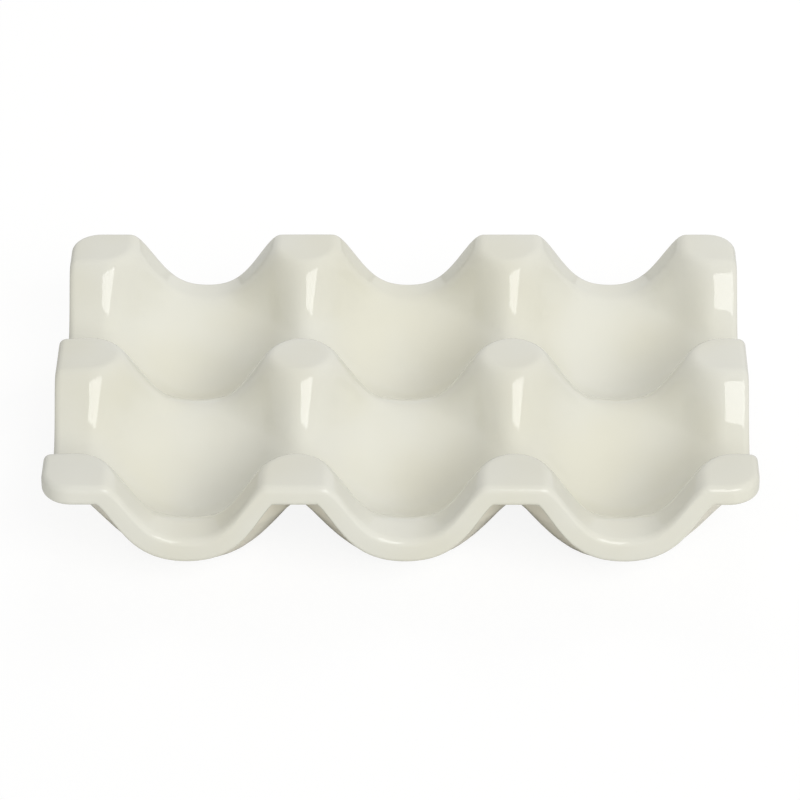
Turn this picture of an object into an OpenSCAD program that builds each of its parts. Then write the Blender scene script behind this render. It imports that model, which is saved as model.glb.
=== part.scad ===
// Egg tray: one wavy ceramic shell that holds eggs in a grid of round cups, pointed ends down.
// Four cups meet at each flat peak, and two meet at each dip between the peaks.
// The shell stands on a bare foot ring under each cup, and its lip runs on past the outer crests.
// Lengths are in millimetres. The front faces -Y, and the foot rings stand on Z = 0.

/* [Cups] */
// Distance between the middles of neighbouring cups
cup_pitch = 49; // [47:0.5:56]
// Cups from left to right
cups_across = 3; // [1:1:3]
// Rows of cups from front to back
cup_rows = 2; // [1:1:2]
// Depth of a cup's floor below the peaks
cup_depth = 26; // [25:0.1:31]
// Depth of the dips below the peaks
dip_depth = 14.2; // [10:0.1:16.5]
// Slope of a cup's wall at the dips, in degrees
cup_slope = 46; // [38:1:56]

/* [Crests and lip] */
// Width over which a cup's wall rounds over into a crest
crest_round = 7.6; // [6:0.1:11]
// Radius of the flat on top of a peak
peak_flat_r = 6.1; // [3:0.1:7]
// Reach of the lip past the outer crests at the left
left_margin = 7.7; // [5.4:0.1:12]
// Reach of the lip past the outer crests at the right
right_margin = 5.5; // [5.4:0.1:12]
// Reach of the lip past the outer crests at the front
front_margin = 6.9; // [5.4:0.1:12]
// Reach of the lip past the outer crests at the back
back_margin = 7; // [5.4:0.1:12]
// How far the lip's edge falls below its crest
lip_fall = 0.4; // [0:0.1:1.5]
// Radius of the lip's corners, seen from above
corner_r = 7; // [3:0.1:9]

/* [Wall] */
// Thickness of the shell at the peaks
peak_wall_t = 5; // [4.6:0.1:6.5]
// How much thicker the shell grows from the peaks down to the cups' floors
wall_growth = 6; // [0:0.1:7]
// Thickness of a cup's floor
floor_t = 5; // [3:0.1:6.5]
// Radius of the lip's upper edge
top_edge_r = 1.6; // [1:0.1:2.6]
// Radius of the lip's lower edge
bottom_edge_r = 1.6; // [0.5:0.1:1.8]

/* [Foot rings] */
// Outer diameter of a foot ring
foot_d = 16; // [12:0.5:20]
// Width of a foot ring's band
foot_w = 2.6; // [1.8:0.1:3.5]
// Height of a foot ring
foot_h = 1; // [0.6:0.1:2]
// Radius of a foot ring's lower edges
foot_edge_r = 0.4; // [0.2:0.05:0.5]
// Flat land of the shell left around a foot ring
foot_land = 0.6; // [0.4:0.1:1.5]

/* [Hidden] */
row_names = ["front", "back"];
column_names = [["middle"], ["left", "right"], ["left", "middle", "right"]][cups_across - 1];
function foot_name(column, row) = str("foot_", row_names[row], "_", column_names[column]);
columns = [0:1:cups_across - 1];
rows = [0:1:cup_rows - 1];

half_pitch = cup_pitch / 2;
grid_w = cups_across * cup_pitch;
grid_d = cup_rows * cup_pitch;
// The grid's middle, with the box around the outline centred on the origin
grid_middle = [left_margin - right_margin, front_margin - back_margin] / 2;
floor_z = foot_h + floor_t;
peak_z = floor_z + cup_depth;

// A cup's surface depends on its cup radius: the distance from the cup's middle, eased near the crests
crest_start = half_pitch - crest_round;
dip_r = eased(half_pitch);
peak_r = norm([eased(half_pitch - peak_flat_r), dip_r]);
dip_height = cup_depth - dip_depth;
dip_grade = tan(cup_slope);

// The shell is meshed in rings around each cup, round at the floor and square at the crests
cup_rings = 8;
seat_rings = 2;
// Share by which the rings crowd towards the crests
crowding_share = 0.2;
seat_share = crowded(seat_rings / cup_rings);
seat_r = foot_d / 2 + foot_land;
// Lines across the lip, as turns of its upper edge's quarter round
edge_turns = [90, 60, 30, 0];
edge_insets = [for (turn = edge_turns) top_edge_r * (1 - sin(turn))];
// Places within a wall's thickness at which the upper face is felt for, to find the lower face
probe_shares = [0.14, 0.27, 0.37, 0.46, 0.55, 0.64, 0.73, 0.82];
probe_turns = [0:22.5:337.5];
probes = concat([[0, 0]],
    [for (share = probe_shares, turn = probe_turns)
        share * (peak_wall_t + wall_growth) * [cos(turn), sin(turn)]]);
// Sides of a foot ring's circles
foot_sides = 96;

// Middle of the cup nearest to a place along one axis, and the distance from it, at most half a pitch
function nearest_cup(v, count) = min(count - 1, max(0, round(v / cup_pitch + (count - 1) / 2)));
function middle_of(v, count) = (nearest_cup(v, count) - (count - 1) / 2) * cup_pitch;
function off_middle(v, count) = min(half_pitch, abs(v - middle_of(v, count)));
function eased(d) = d - pow(max(0, d - crest_start), 2) / crest_round / 2;

// A smooth rise between two heights as t goes from 0 to 1
function rise(t, low, high, rate_in, rate_out) =
    low + (high - low) * t * t * (3 - 2 * t) + rate_in * t * pow(1 - t, 2) - rate_out * t * t * (1 - t);

// Height of the upper face above the cups' floors, at a cup radius
function bowl_height(r) = rise(r / dip_r, 0, dip_height, 0, dip_grade * dip_r);
function shoulder_height(r) =
    let (t = min(1, (r - dip_r) / (peak_r - dip_r)))
    rise(t, dip_height, cup_depth, dip_grade * (peak_r - dip_r), 0);
function cup_height(r) = r <= dip_r ? bowl_height(r) : shoulder_height(r);

// Share of the lip's reach past the grid's edge, from 0 at the crest to 1 at the outline
function lip_share(v, half_grid, low_margin, high_margin) =
    v < 0 ? max(0, -v - half_grid) / low_margin : max(0, v - half_grid) / high_margin;
function lip_drop(x, y) =
    let (across = lip_share(x, grid_w / 2, left_margin, right_margin))
    let (along = lip_share(y, grid_d / 2, front_margin, back_margin))
    lip_fall * (across * across + along * along);

// The upper face
function upper_z(x, y) =
    let (off = [off_middle(x, cups_across), off_middle(y, cup_rows)])
    floor_z + cup_height(norm([eased(off.x), eased(off.y)])) - lip_drop(x, y);

// Thickness of the shell where its upper face is at height z: it grows with the cube of the depth
function wall_at(z) = peak_wall_t + wall_growth * pow(max(0, peak_z - z) / cup_depth, 3);

// The lower face lies a wall's thickness from the upper one, and is flat over each foot ring
function under_point(p) = min([for (probe = probes)
    let (z = upper_z(p.x + probe.x, p.y + probe.y), left = pow(wall_at(z), 2) - probe * probe)
    if (left >= 0) z - sqrt(left)]);
function over_foot(p) =
    norm([off_middle(p.x, cups_across), off_middle(p.y, cup_rows)]) < seat_r + foot_land / 2;
function lower_z(p) = over_foot(p) ? foot_h : max(foot_h, under_point(p));

// How far a rounded edge of radius r has turned down at a distance inside the outline
function edge_drop(inset, r) = inset >= r ? 0 : r - sqrt(r * r - pow(r - inset, 2));

// Lines of the plain grid along one axis, from one side of the outline to the other
function crowded(share) = share + crowding_share * share * (1 - share * share);
function lip_lines(reach) = concat(edge_insets, [(top_edge_r + reach) / 2]);
function cup_lines(middle) =
    [for (k = [1:1:2 * cup_rings]) middle + half_pitch * crowded(k / cup_rings - 1)];
function grid_lines(count, low_margin, high_margin) =
    let (half = count * half_pitch, high_lines = lip_lines(high_margin))
    concat(
        [for (inset = lip_lines(low_margin)) inset - half - low_margin],
        [-half],
        [for (k = [0:1:count - 1]) each cup_lines((k - (count - 1) / 2) * cup_pitch)],
        [for (k = [len(high_lines) - 1:-1:0]) half + high_margin - high_lines[k]]);

x_lines = grid_lines(cups_across, left_margin, right_margin);
y_lines = grid_lines(cup_rows, front_margin, back_margin);
x_count = len(x_lines);
y_count = len(y_lines);
outline_low = [x_lines[0], y_lines[0]];
outline_high = [x_lines[x_count - 1], y_lines[y_count - 1]];

// Distance of a plain grid point from the outline
function inset_of(x, y) =
    min(x - outline_low.x, outline_high.x - x, y - outline_low.y, outline_high.y - y);

// A plain grid point moved onto its ring around a cup
function ring_radius(share) = share <= seat_share ? seat_r * share / seat_share
    : seat_r + (half_pitch - seat_r) * (share - seat_share) / (1 - seat_share);
function ringed(x, y) =
    let (middle = [middle_of(x, cups_across), middle_of(y, cup_rows)])
    let (off = ([x, y] - middle) / half_pitch)
    let (share = max(abs(off.x), abs(off.y)), roundness = min(1, (1 - share) / (1 - seat_share)))
    share == 0 ? middle
        : middle + ring_radius(share) * off * ((1 - roundness) / share + roundness / norm(off));

// A point moved inside the outline's round corners
function past_corner(v, low, high) = min(0, v - low - corner_r) + max(0, v - high + corner_r);
function cornered(p) =
    let (past_x = past_corner(p.x, outline_low.x, outline_high.x))
    let (past_y = past_corner(p.y, outline_low.y, outline_high.y))
    let (past = [past_x, past_y])
    past_x == 0 || past_y == 0 ? p : p - past + past * max(abs(past_x), abs(past_y)) / norm(past);

function on_lip(x, y) = abs(x) > grid_w / 2 || abs(y) > grid_d / 2;
function placed(x, y) = cornered(on_lip(x, y) ? [x, y] : ringed(x, y));

// A point of each face
function upper_point(x, y) =
    let (p = placed(x, y))
    [p.x, p.y, upper_z(p.x, p.y) - edge_drop(inset_of(x, y), top_edge_r)];
function lower_point(x, y) =
    let (p = placed(x, y))
    [p.x, p.y, lower_z(p) + edge_drop(inset_of(x, y), bottom_edge_r)];

// Two triangles over a cell of the grid, split along the diagonal that points at the cup's middle
function cell_faces(i, j, first, up) =
    let (a = first + j * x_count + i, b = a + 1, c = a + x_count, d = c + 1)
    let (x = (x_lines[i] + x_lines[i + 1]) / 2, y = (y_lines[j] + y_lines[j + 1]) / 2)
    let (rising = (x - middle_of(x, cups_across)) * (y - middle_of(y, cup_rows)) > 0)
    let (faces = rising ? [[a, d, b], [a, c, d]] : [[a, c, b], [b, c, d]])
    up ? faces : [for (face = faces) [face[0], face[2], face[1]]];

// Two triangles of the outer wall, between neighbouring points on the edges of the two faces
function wall_faces(p, q, first) = [[p, q, first + q], [p, first + q, first + p]];

// The glazed shell
module tray() {
    point_count = x_count * y_count;
    last_row = point_count - x_count;
    upper = [for (y = y_lines, x = x_lines) upper_point(x, y)];
    lower = [for (y = y_lines, x = x_lines) lower_point(x, y)];
    cells = [for (j = [0:1:y_count - 2], i = [0:1:x_count - 2]) [i, j]];
    faces = concat(
        [for (cell = cells) each cell_faces(cell.x, cell.y, 0, true)],
        [for (cell = cells) each cell_faces(cell.x, cell.y, point_count, false)],
        [for (i = [0:1:x_count - 2]) each wall_faces(i, i + 1, point_count)],
        [for (i = [0:1:x_count - 2]) each wall_faces(last_row + i + 1, last_row + i, point_count)],
        [for (j = [0:1:y_count - 2]) each wall_faces((j + 1) * x_count, j * x_count, point_count)],
        [for (j = [1:1:y_count - 1]) each wall_faces(j * x_count - 1, (j + 1) * x_count - 1, point_count)]);
    color("ivory") translate(grid_middle) polyhedron(concat(upper, lower), faces);
}

// Half of a foot ring's section, with its lower edges rounded
module foot_section() {
    inner_r = foot_d / 2 - foot_w;
    translate([inner_r, foot_edge_r]) square([foot_w, foot_h - foot_edge_r]);
    translate([inner_r + foot_edge_r, 0]) square([foot_w - 2 * foot_edge_r, foot_h]);
    for (r = [inner_r + foot_edge_r, foot_d / 2 - foot_edge_r])
        translate([r, foot_edge_r]) circle(r = foot_edge_r, $fn = foot_sides);
}

// The bare ring that one cup stands on
module foot(column, row) {
    place = [column - (cups_across - 1) / 2, row - (cup_rows - 1) / 2] * cup_pitch + grid_middle;
    color("tan") translate(place) rotate_extrude($fn = foot_sides) foot_section();
}

tray();
for (row = rows, column = columns) {
    foot(column, row);
}
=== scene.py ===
"""Glazed ceramic egg tray: a wavy ivory shell with six cups, its bare foot rings and a studio.

Lengths are in metres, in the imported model's frame: the front faces -Y, and the feet stand on Z = 0.
"""

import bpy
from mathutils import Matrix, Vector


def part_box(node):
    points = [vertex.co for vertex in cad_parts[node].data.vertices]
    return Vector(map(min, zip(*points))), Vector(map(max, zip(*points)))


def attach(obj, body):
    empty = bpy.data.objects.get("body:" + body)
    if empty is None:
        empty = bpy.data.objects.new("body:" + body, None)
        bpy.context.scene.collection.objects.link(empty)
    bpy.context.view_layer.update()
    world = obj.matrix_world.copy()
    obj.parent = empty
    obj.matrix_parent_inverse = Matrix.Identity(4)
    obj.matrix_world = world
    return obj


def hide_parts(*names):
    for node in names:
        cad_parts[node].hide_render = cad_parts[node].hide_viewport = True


bl_info = {
    "name": "Ceramic Egg Tray",
    "version": (1, 0, 0),
    "blender": (4, 5, 0),
    "location": "3D View > Sidebar > Egg Tray",
    "description": "Builds a glazed ceramic egg tray, its bare foot rings and a plain studio",
    "category": "Add Mesh",
}

import math

import bmesh
import bpy
import numpy as np
from mathutils import Matrix, Vector

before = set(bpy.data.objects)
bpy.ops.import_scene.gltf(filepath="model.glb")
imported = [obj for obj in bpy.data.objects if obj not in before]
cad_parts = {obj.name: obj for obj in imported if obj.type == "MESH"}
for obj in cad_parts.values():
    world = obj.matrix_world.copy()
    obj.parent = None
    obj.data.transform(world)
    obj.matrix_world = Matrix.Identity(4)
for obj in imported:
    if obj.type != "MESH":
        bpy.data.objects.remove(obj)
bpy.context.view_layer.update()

MM = 0.001
TRAY_LOW, TRAY_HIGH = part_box("tray")
FEET = sorted(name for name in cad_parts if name.startswith("foot_"))
FOOT_BOXES = [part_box(name) for name in FEET]
FOOT_MIDDLES = np.array([((low + high) / 2)[:2] for low, high in FOOT_BOXES])
FOOT_OUTER_R = (FOOT_BOXES[0][1].x - FOOT_BOXES[0][0].x) / 2
FOOT_TOP = FOOT_BOXES[0][1].z
COLUMNS = np.unique(FOOT_MIDDLES[:, 0].round(5))
ROWS = np.unique(FOOT_MIDDLES[:, 1].round(5))
GRID_MIDDLE = Vector((COLUMNS.mean(), ROWS.mean(), 0))
CUP_PITCH = float(COLUMNS[1] - COLUMNS[0])

# Slow waves of the upper face: length in metres, direction and phase in radians
WAVES = ((0.031, 0.4, 1.1), (0.023, 2.0, 4.0), (0.017, 1.2, 0.3), (0.040, 2.7, 2.2))
# The lower face looks round each point for the wall above it: at these shares of the thickest
# wall away, and in this many directions
REACH_SHARES = (0.08, 0.16, 0.23, 0.3, 0.36, 0.42, 0.48, 0.54, 0.6, 0.68, 0.76, 0.85)
REACH_TURNS = 32
# Mesh lines over a rounded edge
EDGE_LINES = 12
# Keeps a division from zero
TINY = 1e-9
# The glaze is wiped off a little past a foot ring, and fades out over a narrow band
WIPED_PAST_RING = 1.3 * MM
WIPED_FADE = 0.8 * MM

# Sockets of a mix node: its inputs, and the output that holds the mixed colour
MIX_SHARE = 0
MIX_A = 2
MIX_B = 3
MIX_COLOUR_A = 6
MIX_COLOUR_B = 7
MIXED_COLOUR = 2

# Fixed values of the glaze, the clay and the floor
GLAZE_IOR = 1.38
GLAZE_ROUGHNESS_LOW = 0.04
GLAZE_ROUGHNESS_HIGH = 0.07
WIPED_ROUGHNESS = 0.85
CLAY_IOR = 1.5
CLAY_ROUGHNESS = 0.88
CLAY_SHADE = 0.86
FLOOR_GLOW = 1.05
FLOOR_GLOW_SHARE = 0.85

# Fixed sizes of the stage, in metres but for the camera's sensor
FLOOR_HALF_SIDE = 6
CAMERA_SENSOR_MM = 36
CAMERA_REACH = 20
AIM_BELOW_PEAKS = 15 * MM


def linear_colour(written):
    """A colour written as sRGB hex, as linear values by the sRGB standard's own formula."""
    parts = [int(written[i:i + 2], 16) / 255 for i in (1, 3, 5)]
    return [v / 12.92 if v <= 0.04045 else ((v + 0.055) / 1.055) ** 2.4 for v in parts]


def length(name, description, default, low, high):
    return bpy.props.FloatProperty(
        name=name, description=description, default=default, min=low, max=high,
        precision=4, unit="LENGTH")


def angle(name, description, degrees):
    return bpy.props.FloatProperty(
        name=name, description=description, default=math.radians(degrees), unit="ROTATION")


def colour(name, description, written):
    return bpy.props.FloatVectorProperty(
        name=name, description=description, default=linear_colour(written),
        size=3, min=0, max=1, subtype="COLOR")


class EggTraySizes(bpy.types.PropertyGroup):
    """Sizes of the tray's shell."""

    cup_depth: length(
        "Cup depth", "Depth of a cup's floor below the peaks", 26 * MM, 20 * MM, 32 * MM)
    dip_depth: length(
        "Dip depth", "Depth of the dips below the peaks", 14.2 * MM, 8 * MM, 18 * MM)
    cup_slope: angle("Cup slope", "Slope of a cup's wall at the dips", 46)
    crest_round: length(
        "Crest rounding", "Width over which a cup's wall rounds over into a crest",
        7.6 * MM, 5 * MM, 12 * MM)
    peak_flat_r: length(
        "Peak flat", "Radius of the flat on top of a peak", 6.1 * MM, 2 * MM, 8 * MM)
    lip_fall: length(
        "Lip fall", "How far the lip's edge falls below its crest", 0.4 * MM, 0, 2 * MM)
    corner_r: length(
        "Corner radius", "Radius of the lip's corners, seen from above",
        7 * MM, 3 * MM, 9 * MM)
    peak_wall_t: length(
        "Peak wall", "Thickness of the shell at the peaks", 5 * MM, 3 * MM, 8 * MM)
    wall_growth: length(
        "Wall growth", "How much thicker the shell grows from the peaks down to the cups' floors",
        6 * MM, 0, 8 * MM)
    upper_edge_r: length(
        "Upper edge", "Radius of the lip's upper edge", 1.6 * MM, 0.5 * MM, 2.6 * MM)
    lower_edge_r: length(
        "Lower edge", "Radius of the lip's lower edge", 1.6 * MM, 0.5 * MM, 1.8 * MM)
    seat_fillet: length(
        "Seat fillet", "Softening where the flat seats meet the cups' outer walls",
        0.5 * MM, 0.1 * MM, 2 * MM)
    hand_wave: length(
        "Surface wave", "Height of the slow waves that casting and glazing leave",
        0.05 * MM, 0, 0.3 * MM)
    mesh_step: length(
        "Mesh step", "Distance between the shell's mesh lines", 0.78 * MM, 0.5 * MM, 3 * MM)


class EggTrayFinish(bpy.types.PropertyGroup):
    """Colours of the tray's glaze and clay."""

    glaze: colour("Glaze", "Ivory glaze where it lies evenly", "#E7E6DB")
    glaze_pooled: colour("Pooled glaze", "Glaze where it ran a little thicker", "#E5E3D4")
    # Painted warm bounce light: the glaze underneath gets this paler, warmer colour
    glaze_bounce_lit: colour("Bounce-lit glaze", "Glaze underneath, made paler and warmer as painted bounce light", "#ECE8DA")
    clay: colour("Bare clay", "Fired stoneware without glaze", "#B9A584")
    clay_dark: colour("Clay grain", "Darker grains in the fired clay", "#8F7B5E")
    floor: colour("Floor", "Plain studio floor", "#EFEFEC")


class EggTrayStudio(bpy.types.PropertyGroup):
    """The camera and the lamps."""

    camera_elevation: angle("Camera elevation", "Height of the camera's view", 32.65)
    camera_turn: angle("Camera turn", "Turn of the camera round the tray", 0.61)
    camera_roll: angle("Camera roll", "Tilt of the picture", -0.303)
    camera_distance: length(
        "Camera distance", "From the camera to its aim", 1.0436, 0.5, 3)
    aim_right: length(
        "Aim to the right", "From the cups' middle to the camera's aim", -1.58 * MM, -1, 1)
    aim_back: length(
        "Aim to the back", "From the cups' middle to the camera's aim", 3.45 * MM, -1, 1)
    lens: bpy.props.FloatProperty(
        name="Lens", description="Focal length of the camera", default=200.3, min=20, max=400,
        unit="CAMERA")
    softbox_turn: angle("Softbox turn", "Direction of the softbox, right of the front", 25)
    softbox_elevation: angle("Softbox elevation", "Height of the softbox", 36)
    softbox_distance: length("Softbox distance", "From the softbox to the tray", 2, 0.5, 3)
    softbox_width: length("Softbox width", "Width of the softbox", 1.34, 0.1, 2)
    softbox_height: length("Softbox height", "Height of the softbox's face", 0.9, 0.1, 2)
    softbox_power: bpy.props.FloatProperty(
        name="Softbox power", description="Power of the softbox", default=22.3, min=0,
        unit="POWER")
    room_light: bpy.props.FloatProperty(
        name="Room light", description="Brightness of the even light all round",
        default=0.38, min=0, max=2)
    back_lamp_turn: angle("Back lamp turn", "Direction of the lamp behind, right of the front", 170)
    back_lamp_elevation: angle("Back lamp elevation", "Height of the lamp behind the tray", 55)
    back_lamp_distance: length(
        "Back lamp distance", "From the lamp behind the tray to the tray", 0.45, 0.2, 2)
    back_lamp_width: length("Back lamp width", "Width of the lamp behind the tray", 0.35, 0.1, 1)
    back_lamp_height: length(
        "Back lamp height", "Height of the back lamp's face", 0.3, 0.1, 1)
    back_lamp_power: bpy.props.FloatProperty(
        name="Back lamp power", description="Power of the lamp behind the tray", default=0.5,
        min=0, unit="POWER")


# The shell's shape

def nearest_middle(v, middles):
    return middles[np.abs(v[..., None] - middles).argmin(-1)]


def off_middle(v, middles):
    """Distance from the nearest cup's middle along one axis, at most half a pitch."""
    return np.minimum(CUP_PITCH / 2, np.abs(v - nearest_middle(v, middles)))


def eased(off, sizes):
    """The distance, slowed near the crest so that it arrives there level."""
    crest_start = CUP_PITCH / 2 - sizes.crest_round
    return off - np.maximum(0, off - crest_start) ** 2 / sizes.crest_round / 2


def smooth_rise(t, low, high, rate_in, rate_out):
    """A smooth curve from low to high while t goes from 0 to 1, with a rate of rise at each end."""
    return (low + (high - low) * t * t * (3 - 2 * t)
            + rate_in * t * (1 - t) ** 2 - rate_out * t * t * (1 - t))


def cup_height(radius, sizes):
    """Height of the upper face above the cups' floors, at an eased distance from a cup's middle."""
    dip_r = float(eased(np.array(CUP_PITCH / 2), sizes))
    peak_off = float(eased(np.array(CUP_PITCH / 2 - sizes.peak_flat_r), sizes))
    peak_r = math.hypot(peak_off, dip_r)
    dip_height = sizes.cup_depth - sizes.dip_depth
    grade = math.tan(sizes.cup_slope)
    bowl = smooth_rise(radius / dip_r, 0, dip_height, 0, grade * dip_r)
    t = np.clip((radius - dip_r) / (peak_r - dip_r), 0, 1)
    shoulder = smooth_rise(t, dip_height, sizes.cup_depth, grade * (peak_r - dip_r), 0)
    return np.where(radius <= dip_r, bowl, shoulder)


def lip_share(v, middles, low_edge, high_edge):
    """From 0 at the outer crest to 1 at the outline."""
    low_crest = middles[0] - CUP_PITCH / 2
    high_crest = middles[-1] + CUP_PITCH / 2
    return np.clip((low_crest - v) / (low_crest - low_edge), 0, None) + np.clip(
        (v - high_crest) / (high_edge - high_crest), 0, None)


def slow_waves(x, y):
    """Gentle unevenness of cast and glazed ware, from -1 to 1, with waves 17 to 40 mm long."""
    total = sum(np.sin(2 * math.pi * (x * math.cos(turn) + y * math.sin(turn)) / long + phase)
                for long, turn, phase in WAVES)
    return total / len(WAVES)


def upper_z(x, y, sizes):
    """Height of the upper face, before its edge is rounded."""
    radius = np.hypot(eased(off_middle(x, COLUMNS), sizes), eased(off_middle(y, ROWS), sizes))
    across = lip_share(x, COLUMNS, TRAY_LOW.x, TRAY_HIGH.x)
    along = lip_share(y, ROWS, TRAY_LOW.y, TRAY_HIGH.y)
    return (TRAY_HIGH.z - sizes.cup_depth + cup_height(radius, sizes)
            - sizes.lip_fall * (across ** 2 + along ** 2))


def wall_at(z, sizes):
    """Thickness of the shell where its upper face is at z: it grows with the cube of the depth."""
    return sizes.peak_wall_t + sizes.wall_growth * (
        np.maximum(0, TRAY_HIGH.z - z) / sizes.cup_depth) ** 3


def lower_z(x, y, sizes):
    """Height of the lower face: a wall's thickness from the upper one, flat over the foot rings."""
    top = upper_z(x, y, sizes)
    under = top - wall_at(top, sizes)
    for share in REACH_SHARES:
        reach = share * (sizes.peak_wall_t + sizes.wall_growth)
        for turn in np.linspace(0, 2 * math.pi, REACH_TURNS, endpoint=False):
            top = upper_z(x + reach * math.cos(turn), y + reach * math.sin(turn), sizes)
            left = wall_at(top, sizes) ** 2 - reach ** 2
            under = np.minimum(under, np.where(left >= 0, top - np.sqrt(np.abs(left)), np.inf))
    blend = np.clip(0.5 + (under - FOOT_TOP) / sizes.seat_fillet / 2, 0, 1)
    return FOOT_TOP + (under - FOOT_TOP) * blend + sizes.seat_fillet * blend * (1 - blend)


def edge_drop(inset, radius):
    """How far a rounded edge has turned down at a distance inside the outline."""
    inside = np.clip(radius - inset, 0, radius)
    return radius - np.sqrt(radius ** 2 - inside ** 2)


def mesh_lines(low, high, sizes):
    """Places of the mesh lines along one axis: crowded over the rounded edges, even between."""
    turns = np.radians(np.linspace(90, 0, EDGE_LINES))
    insets = sizes.upper_edge_r * (1 - np.sin(turns))
    start, end = low + sizes.upper_edge_r, high - sizes.upper_edge_r
    count = round((end - start) / sizes.mesh_step)
    even = np.linspace(start, end, count + 1)[1:-1]
    return np.concatenate([low + insets, even, (high - insets)[::-1]])


def round_corners(x, y, sizes):
    """Moves the points of the plan's square corners onto round ones."""
    half = (TRAY_HIGH - TRAY_LOW) / 2
    middle = (TRAY_HIGH + TRAY_LOW) / 2
    px = (np.abs(x - middle.x) - half.x + sizes.corner_r) / sizes.corner_r
    py = (np.abs(y - middle.y) - half.y + sizes.corner_r) / sizes.corner_r
    at_corner = (px > 0) & (py > 0)
    px, py = np.maximum(px, 0), np.maximum(py, 0)
    squeeze = np.where(at_corner, np.maximum(px, py) / np.maximum(np.hypot(px, py), TINY), 1)
    new_x = half.x - sizes.corner_r + px * squeeze * sizes.corner_r
    new_y = half.y - sizes.corner_r + py * squeeze * sizes.corner_r
    x = np.where(at_corner, middle.x + np.sign(x - middle.x) * new_x, x)
    y = np.where(at_corner, middle.y + np.sign(y - middle.y) * new_y, y)
    return x, y


def build_shell(name, sizes):
    """The shell: a grid over the unit square gets two faces and a rim, and its points are moved."""
    x_lines = mesh_lines(TRAY_LOW.x, TRAY_HIGH.x, sizes)
    y_lines = mesh_lines(TRAY_LOW.y, TRAY_HIGH.y, sizes)
    cells = Vector((len(x_lines) - 1, len(y_lines) - 1))
    bm = bmesh.new()
    bmesh.ops.create_grid(
        bm, x_segments=int(cells.x), y_segments=int(cells.y), size=0.5,
        matrix=Matrix.Translation((0.5, 0.5, 0)))
    made = bmesh.ops.extrude_face_region(bm, geom=bm.faces[:])
    raised = [v for v in made["geom"] if isinstance(v, bmesh.types.BMVert)]
    bmesh.ops.translate(bm, verts=raised, vec=(0, 0, 1))
    bmesh.ops.recalc_face_normals(bm, faces=bm.faces[:])
    mesh = bpy.data.meshes.new(name)
    bm.to_mesh(mesh)
    bm.free()

    points = np.zeros(len(mesh.vertices) * 3)
    mesh.vertices.foreach_get("co", points)
    points = points.reshape(-1, 3)
    x = x_lines[np.rint(points[:, 0] * cells.x).astype(int)]
    y = y_lines[np.rint(points[:, 1] * cells.y).astype(int)]
    is_upper = points[:, 2] > 0.5
    inset = np.min([x - TRAY_LOW.x, TRAY_HIGH.x - x, y - TRAY_LOW.y, TRAY_HIGH.y - y], axis=0)
    x, y = round_corners(x, y, sizes)
    wave = sizes.hand_wave * slow_waves(x, y)
    upper = upper_z(x, y, sizes) - edge_drop(inset, sizes.upper_edge_r) + wave
    lower = lower_z(x, y, sizes) + edge_drop(inset, sizes.lower_edge_r)
    z = np.where(is_upper, np.minimum(upper, TRAY_HIGH.z), lower)
    mesh.vertices.foreach_set("co", np.stack([x, y, z], axis=1).ravel())

    # Painted warm bounce light on the underside, from the lip's lower edge inwards, and where the
    # glaze is wiped off the clay
    off = np.hypot(off_middle(x, COLUMNS), off_middle(y, ROWS))
    bounce_share = np.where(is_upper, 0, np.clip(inset / sizes.lower_edge_r, 0, 1))
    wiped = np.clip((FOOT_OUTER_R + WIPED_PAST_RING - off) / WIPED_FADE, 0, 1)
    bare = np.where(is_upper, 0, wiped)
    for label, values in (("painted_bounce_glaze", bounce_share), ("bare_clay", bare)):
        attribute = mesh.attributes.new(label, "FLOAT", "POINT")
        attribute.data.foreach_set("value", values.astype(np.float32))
    mesh.update()
    for face in mesh.polygons:
        face.use_smooth = True
    obj = bpy.data.objects.new(name, mesh)
    bpy.context.scene.collection.objects.link(obj)
    return obj


# Materials

def add_node(tree, kind, links=None, **settings):
    """Adds a node, sets its sockets and options, and links its inputs from other nodes' outputs."""
    node = tree.nodes.new(kind)
    for key, value in settings.items():
        if hasattr(node, key):
            setattr(node, key, value)
        else:
            node.inputs[key.replace("_", " ")].default_value = value
    for socket, source in (links or {}).items():
        tree.links.new(source, node.inputs[socket])
    return node


def new_material(name):
    """A material without nodes, and its node tree."""
    material = bpy.data.materials.new(name)
    material.use_nodes = True
    material.node_tree.nodes.clear()
    return material, material.node_tree


def mix_colours(tree, share, first, second):
    """Mixes two colours; each is a list of linear values or another node's output."""
    mix = add_node(tree, "ShaderNodeMix", data_type="RGBA")
    tree.links.new(share, mix.inputs[MIX_SHARE])
    for socket, value in ((MIX_COLOUR_A, first), (MIX_COLOUR_B, second)):
        if isinstance(value, bpy.types.NodeSocket):
            tree.links.new(value, mix.inputs[socket])
        else:
            mix.inputs[socket].default_value = (*value, 1)
    return mix.outputs[MIXED_COLOUR]


def spread(tree, value, low, high):
    """Stretches a value so that low becomes 0 and high becomes 1, with soft ends."""
    node = add_node(tree, "ShaderNodeMapRange", interpolation_type="SMOOTHSTEP")
    tree.links.new(value, node.inputs["Value"])
    node.inputs["From Min"].default_value = low
    node.inputs["From Max"].default_value = high
    return node.outputs[0]


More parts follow.
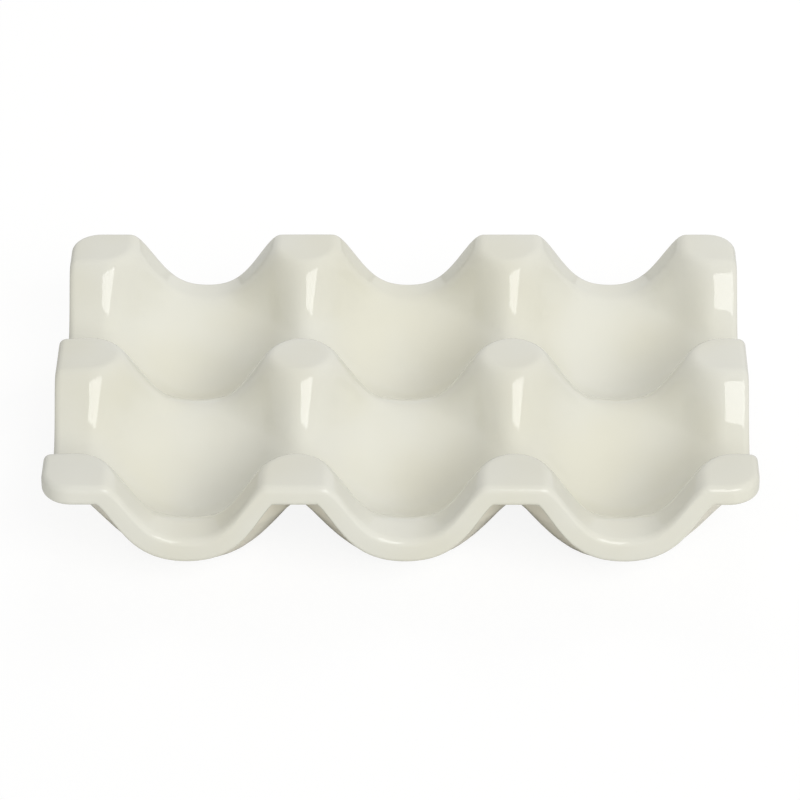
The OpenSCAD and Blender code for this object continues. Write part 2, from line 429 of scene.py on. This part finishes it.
def glazed_stoneware(finish):
    """Glossy ivory glaze, dipped and fired: an even cream, a little deeper where it ran thick, with
    the soft unevenness of melted glass. Underneath, a paler, warmer colour is painted in as bounce
    light, and the glaze is wiped off round the foot rings."""
    material, tree = new_material("glazed_stoneware")
    place = add_node(tree, "ShaderNodeTexCoord").outputs["Object"]

    def noise(size_mm, detail, rough):
        return add_node(
            tree, "ShaderNodeTexNoise", {"Vector": place}, Scale=1 / (size_mm * MM),
            Detail=detail, Roughness=rough).outputs["Fac"]

    pooled = spread(tree, noise(size_mm=30, detail=2, rough=0.5), low=0.35, high=0.7)
    even = mix_colours(tree, pooled, finish.glaze, finish.glaze_pooled)
    # Painted warm bounce light: the underside is mixed towards a paler, warmer glaze colour
    bounce_share = add_node(tree, "ShaderNodeAttribute", attribute_name="painted_bounce_glaze").outputs["Fac"]
    bounce_tinted = mix_colours(tree, spread(tree, bounce_share, low=0.3, high=1), even, finish.glaze_bounce_lit)
    bare = add_node(tree, "ShaderNodeAttribute", attribute_name="bare_clay").outputs["Fac"]
    bare_share = spread(tree, bare, low=0.35, high=0.65)
    colour_out = mix_colours(tree, bare_share, bounce_tinted, finish.clay)
    # Glaze is glass: roughness stays low, and wanders a little over 10 mm patches
    gloss = add_node(
        tree, "ShaderNodeMapRange", {"Value": noise(size_mm=10, detail=2, rough=0.5)},
        To_Min=GLAZE_ROUGHNESS_LOW, To_Max=GLAZE_ROUGHNESS_HIGH)
    rough = add_node(
        tree, "ShaderNodeMix", {MIX_SHARE: bare_share, MIX_A: gloss.outputs[0]}, data_type="FLOAT")
    rough.inputs[MIX_B].default_value = WIPED_ROUGHNESS
    # Slow waves of 7 mm and a faint peel of 1.6 mm in the melted glaze
    waves = add_node(
        tree, "ShaderNodeBump", {"Height": noise(size_mm=7, detail=1, rough=0.4)},
        Strength=0.15, Distance=0.05 * MM)
    peel = add_node(
        tree, "ShaderNodeBump",
        {"Height": noise(size_mm=1.6, detail=2, rough=0.5), "Normal": waves.outputs[0]},
        Strength=0.12, Distance=0.008 * MM)
    shader = add_node(
        tree, "ShaderNodeBsdfPrincipled",
        {"Base Color": colour_out, "Roughness": rough.outputs[0], "Normal": peel.outputs[0]},
        IOR=GLAZE_IOR)
    add_node(tree, "ShaderNodeOutputMaterial", {"Surface": shader.outputs[0]})
    return material


def bare_stoneware(finish):
    """Fired clay without glaze, ground flat: matt, buff, with darker grains and a fine tooth."""
    material, tree = new_material("bare_stoneware")
    place = add_node(tree, "ShaderNodeTexCoord").outputs["Object"]
    # Grog of about 0.5 mm, and a slow change of tone over 6 mm
    grains = add_node(
        tree, "ShaderNodeTexVoronoi", {"Vector": place}, Scale=1 / (0.5 * MM)).outputs["Distance"]
    tone = add_node(
        tree, "ShaderNodeTexNoise", {"Vector": place}, Scale=1 / (6 * MM), Detail=3).outputs["Fac"]
    speck = spread(tree, grains, low=0.28, high=0.12)
    shade = [value * CLAY_SHADE for value in finish.clay]
    body = mix_colours(tree, spread(tree, tone, low=0.3, high=0.8), finish.clay, shade)
    colour_out = mix_colours(tree, speck, body, finish.clay_dark)
    tooth = add_node(
        tree, "ShaderNodeTexNoise", {"Vector": place}, Scale=1 / (0.35 * MM), Detail=4)
    bump = add_node(
        tree, "ShaderNodeBump", {"Height": tooth.outputs["Fac"]}, Strength=0.5,
        Distance=0.06 * MM)
    shader = add_node(
        tree, "ShaderNodeBsdfPrincipled",
        {"Base Color": colour_out, "Normal": bump.outputs[0]}, Roughness=CLAY_ROUGHNESS,
        IOR=CLAY_IOR)
    add_node(tree, "ShaderNodeOutputMaterial", {"Surface": shader.outputs[0]})
    return material


def studio_floor(finish):
    """Matt pale floor that keeps the tray's soft shadow and looks white to the camera."""
    material, tree = new_material("studio_floor")
    paint = add_node(tree, "ShaderNodeBsdfDiffuse", Color=(*finish.floor, 1))
    white = add_node(tree, "ShaderNodeEmission", Color=(1, 1, 1, 1), Strength=FLOOR_GLOW)
    path = add_node(tree, "ShaderNodeLightPath")
    seen = add_node(
        tree, "ShaderNodeMath", {0: path.outputs["Is Camera Ray"]}, operation="MULTIPLY")
    seen.inputs[1].default_value = FLOOR_GLOW_SHARE
    mix = add_node(
        tree, "ShaderNodeMixShader",
        {0: seen.outputs[0], 1: paint.outputs[0], 2: white.outputs[0]})
    # Seen from below, the floor lets the camera look at the tray's underside
    clear = add_node(tree, "ShaderNodeBsdfTransparent")
    side = add_node(tree, "ShaderNodeNewGeometry")
    out = add_node(
        tree, "ShaderNodeMixShader",
        {0: side.outputs["Backfacing"], 1: mix.outputs[0], 2: clear.outputs[0]})
    add_node(tree, "ShaderNodeOutputMaterial", {"Surface": out.outputs[0]})
    return material


# Operators

def compass(turn, elevation):
    """The direction that lies turn to the right of the front and elevation above the floor."""
    return Vector((math.sin(turn) * math.cos(elevation), -math.cos(turn) * math.cos(elevation),
                   math.sin(elevation)))


class EGGTRAY_OT_shell(bpy.types.Operator):
    """Build the glazed shell with its cups, peaks and lip"""

    bl_idname = "egg_tray.shell"
    bl_label = "Glazed Shell"

    def execute(self, context):
        shell = build_shell("tray_shell", context.scene.egg_tray_sizes)
        shell.data.materials.append(glazed_stoneware(context.scene.egg_tray_finish))
        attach(shell, "root")
        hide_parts("tray")
        return {"FINISHED"}


class EGGTRAY_OT_feet(bpy.types.Operator):
    """Give the foot rings their bare clay"""

    bl_idname = "egg_tray.feet"
    bl_label = "Bare Foot Rings"

    def execute(self, context):
        clay = bare_stoneware(context.scene.egg_tray_finish)
        for name in FEET:
            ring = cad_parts[name]
            ring.data.materials.clear()
            ring.data.materials.append(clay)
        return {"FINISHED"}


class EGGTRAY_OT_stage(bpy.types.Operator):
    """Set up the plain floor, the two lamps, the even room light and the camera"""

    bl_idname = "egg_tray.stage"
    bl_label = "Studio"

    def execute(self, context):
        scene, studio = context.scene, context.scene.egg_tray_studio
        self.add_floor(scene)
        self.add_lamp(
            scene, "softbox", compass(studio.softbox_turn, studio.softbox_elevation),
            studio.softbox_distance, (studio.softbox_width, studio.softbox_height),
            studio.softbox_power)
        # The lamp behind leaves no streak of its own on the glaze
        back_lamp = self.add_lamp(
            scene, "back_lamp", compass(studio.back_lamp_turn, studio.back_lamp_elevation),
            studio.back_lamp_distance, (studio.back_lamp_width, studio.back_lamp_height),
            studio.back_lamp_power)
        back_lamp.visible_glossy = False
        self.add_room_light(scene, studio)
        self.add_camera(scene, studio)
        scene.view_settings.view_transform = "Standard"
        return {"FINISHED"}

    def add_floor(self, scene):
        bm = bmesh.new()
        bmesh.ops.create_grid(bm, x_segments=1, y_segments=1, size=FLOOR_HALF_SIDE)
        mesh = bpy.data.meshes.new("studio_floor")
        bm.to_mesh(mesh)
        bm.free()
        mesh.materials.append(studio_floor(scene.egg_tray_finish))
        floor = bpy.data.objects.new("studio_floor", mesh)
        scene.collection.objects.link(floor)

    def add_lamp(self, scene, name, direction, distance, size, power):
        lamp = bpy.data.lights.new(name, "AREA")
        lamp.shape = "RECTANGLE"
        lamp.size, lamp.size_y = size
        lamp.energy = power
        box = bpy.data.objects.new(name, lamp)
        box.location = GRID_MIDDLE + direction * distance
        box.rotation_euler = (-direction).to_track_quat("-Z", "Y").to_euler()
        scene.collection.objects.link(box)
        return box

    def add_room_light(self, scene, studio):
        world = bpy.data.worlds.new("room")
        world.use_nodes = True
        tree = world.node_tree
        tree.nodes.clear()
        room = add_node(
            tree, "ShaderNodeBackground", Color=(1, 1, 1, 1), Strength=studio.room_light)
        white = add_node(tree, "ShaderNodeBackground", Color=(1, 1, 1, 1), Strength=1)
        path = add_node(tree, "ShaderNodeLightPath")
        seen = add_node(
            tree, "ShaderNodeMath",
            {0: path.outputs["Is Camera Ray"], 1: path.outputs["Is Glossy Ray"]},
            operation="MAXIMUM")
        mix = add_node(
            tree, "ShaderNodeMixShader",
            {0: seen.outputs[0], 1: room.outputs[0], 2: white.outputs[0]})
        add_node(tree, "ShaderNodeOutputWorld", {"Surface": mix.outputs[0]})
        scene.world = world

    def add_camera(self, scene, studio):
        turn, elevation, roll = studio.camera_turn, studio.camera_elevation, studio.camera_roll
        right = Vector((math.cos(turn), math.sin(turn), 0))
        level = Vector((-math.sin(turn), math.cos(turn), 0))
        ahead = level * math.cos(elevation) - Vector((0, 0, math.sin(elevation)))
        up = level * math.sin(elevation) + Vector((0, 0, math.cos(elevation)))
        aim = GRID_MIDDLE + right * studio.aim_right + level * studio.aim_back
        aim.z = TRAY_HIGH.z - AIM_BELOW_PEAKS
        camera = bpy.data.objects.new("camera", bpy.data.cameras.new("camera"))
        camera.data.sensor_width = CAMERA_SENSOR_MM
        camera.data.lens = studio.lens
        camera.data.clip_end = CAMERA_REACH
        axes = Matrix((right * math.cos(roll) + up * math.sin(roll),
                       up * math.cos(roll) - right * math.sin(roll), -ahead)).transposed()
        place = Matrix.Translation(aim - ahead * studio.camera_distance)
        camera.matrix_world = place @ axes.to_4x4()
        scene.collection.objects.link(camera)
        scene.camera = camera


class EGGTRAY_PT_panel(bpy.types.Panel):
    """Lists the tray's sizes, colours and pieces"""

    bl_idname = "EGGTRAY_PT_panel"
    bl_label = "Egg Tray"
    bl_space_type = "VIEW_3D"
    bl_region_type = "UI"
    bl_category = "Egg Tray"

    def draw(self, context):
        for operator in (EGGTRAY_OT_shell, EGGTRAY_OT_feet, EGGTRAY_OT_stage):
            self.layout.operator(operator.bl_idname)
        for group in ("egg_tray_sizes", "egg_tray_finish", "egg_tray_studio"):
            settings = getattr(context.scene, group)
            column = self.layout.column()
            for name in settings.__annotations__:
                column.prop(settings, name)


CLASSES = (EggTraySizes, EggTrayFinish, EggTrayStudio, EGGTRAY_OT_shell, EGGTRAY_OT_feet,
           EGGTRAY_OT_stage, EGGTRAY_PT_panel)
GROUPS = {"egg_tray_sizes": EggTraySizes, "egg_tray_finish": EggTrayFinish,
          "egg_tray_studio": EggTrayStudio}


def register():
    for cls in CLASSES:
        bpy.utils.register_class(cls)
    for name, group in GROUPS.items():
        setattr(bpy.types.Scene, name, bpy.props.PointerProperty(type=group))


def unregister():
    for name in GROUPS:
        delattr(bpy.types.Scene, name)
    for cls in reversed(CLASSES):
        bpy.utils.unregister_class(cls)


def main():
    register()
    bpy.ops.egg_tray.stage()
    bpy.ops.egg_tray.shell()
    bpy.ops.egg_tray.feet()


if __name__ == "__main__":
    main()
